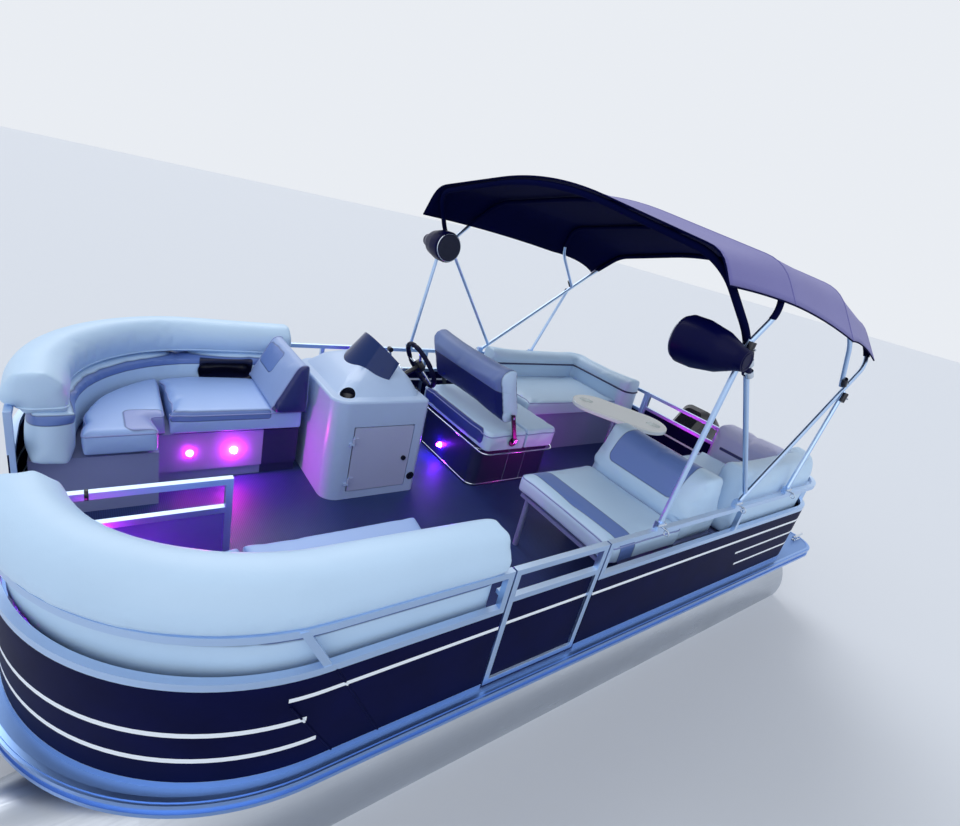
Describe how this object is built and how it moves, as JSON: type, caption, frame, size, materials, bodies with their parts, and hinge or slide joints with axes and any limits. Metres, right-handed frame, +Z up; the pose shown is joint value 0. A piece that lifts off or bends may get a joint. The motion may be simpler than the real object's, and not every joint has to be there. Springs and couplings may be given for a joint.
{
  "type": "pontoon boat",
  "caption": "Open pontoon boat on two round tubes with a railed deck, corner lounges, a helm, a folding sun canopy and an outboard motor tilted up.",
  "frame": {"origin": "centre of the bounding box in plan, at the foot of the tubes' keels", "axes": "+X forward to the bow, +Y to port, +Z up"},
  "size_m": [5.6566, 2.61, 2.7217],
  "materials": {
    "tube_metal": "brushed",
    "frame_metal": "mill",
    "rail_metal": "satin",
    "deck_floor": "marine vinyl",
    "panel_navy": "gloss",
    "vinyl_light": "marine vinyl",
    "vinyl_slate": "marine vinyl",
    "moulded_light": "satin",
    "moulded_dark": "satin",
    "tinted": "gloss",
    "canopy_cloth": "woven",
    "chrome": "polished",
    "lamp": "lit",
    "motor_black": "gloss",
    "engine_metal": "cast",
    "prop_metal": "painted"
  },
  "bodies": {
    "boat": {"tube_port": "tube_metal", "tube_starboard": "tube_metal", "cross_members": "frame_metal", "motor_pod": "frame_metal", "deck": "deck_floor", "rub_rail": "rail_metal", "fence_bow_port": "rail_metal", "fence_aft_port": "rail_metal", "fence_starboard": "rail_metal", "fence_panels": "panel_navy", "bow_base_port": "moulded_light", "bow_base_starboard": "moulded_light", "bow_seat_port": "vinyl_light", "bow_seat_starboard": "vinyl_light", "bow_back_port": "vinyl_light", "bow_back_starboard": "vinyl_light", "chaise_back": "vinyl_light", "console": "moulded_light", "windscreen": "tinted", "helm_base": "moulded_dark", "helm_seat": "vinyl_light", "bench_frame": "chrome", "bench_seat": "vinyl_light", "bench_back": "vinyl_light", "table_post": "chrome", "table_top": "moulded_light", "aft_base_port": "moulded_light", "aft_seat_port": "vinyl_light", "aft_back_port": "vinyl_light", "aft_bolster_port": "vinyl_light", "aft_base_starboard": "moulded_dark", "aft_seat_starboard": "vinyl_light", "aft_back_starboard": "vinyl_light", "canopy_rear_bow": "rail_metal", "canopy_front_bow": "rail_metal", "canopy_mid_bows": "rail_metal", "canopy_braces": "rail_metal", "canopy_cloth": "canopy_cloth", "speakers": "motor_black", "cleats": "chrome", "courtesy_lamps": "lamp", "ladder": "chrome", "clamp_bracket": "motor_black"},
    "side_gate": {"side_gate": "rail_metal"},
    "bow_gate": {"bow_gate": "rail_metal"},
    "aft_gate": {"aft_gate": "rail_metal"},
    "console_door": {"console_door": "moulded_light"},
    "steering_wheel": {"steering_wheel": "moulded_dark"},
    "helm_back": {"helm_back": "vinyl_slate"},
    "swivel": {"swivel_bracket": "motor_black"},
    "motor": {"motor_leg": "motor_black", "motor_cowl": "motor_black", "engine_block": "engine_metal"},
    "propeller": {"propeller": "prop_metal"}
  },
  "joints": [
    {"name": "side_gate_swing", "type": "hinge", "parent": "boat", "child": "side_gate", "pos_m": [1.18935, 1.218, 1.055], "axis": [0, 0, 1], "range_deg": [0, 90]},
    {"name": "bow_gate_swing", "type": "hinge", "parent": "boat", "child": "bow_gate", "pos_m": [2.63135, 0.451, 1.055], "axis": [0, 0, 1], "range_deg": [0, 90]},
    {"name": "aft_gate_swing", "type": "hinge", "parent": "boat", "child": "aft_gate", "pos_m": [-1.56465, 0.451, 1.055], "axis": [0, 0, 1], "range_deg": [0, 90]},
    {"name": "console_door_swing", "type": "hinge", "parent": "boat", "child": "console_door", "pos_m": [1.21235, -0.138, 1.015], "axis": [0, 0, -1], "range_deg": [0, 110]},
    {"name": "helm_back_flip", "type": "hinge", "parent": "boat", "child": "helm_back", "pos_m": [0.16835, -0.415, 1.155], "axis": [0, -1, 0], "range_deg": [0, 41.2]},
    {"name": "motor_tilt", "type": "hinge", "parent": "boat", "child": "swivel", "pos_m": [-2.05165, 0, 0.745], "axis": [0, -1, 0], "range_deg": [0, 50]},
    {"name": "motor_steer", "type": "hinge", "parent": "swivel", "child": "motor", "pos_m": [-2.18782, 0, 0.68948], "axis": [0.766, 0, 0.6428], "range_deg": [-30, 30]},
    {"name": "propeller_spin", "type": "hinge", "parent": "motor", "child": "propeller", "pos_m": [-2.74003, 0, 0.60861], "axis": [-0.6428, 0, 0.766], "continuous": true},
    {"name": "wheel_turn", "type": "hinge", "parent": "boat", "child": "steering_wheel", "pos_m": [0.67035, -0.47, 1.485], "axis": [-0.8645, 0, 0.5026], "range_deg": [-540, 540]}
  ],
  "couplings": [
    {"joint": "wheel_turn", "follows": "motor_steer", "ratio": -18}
  ]
}
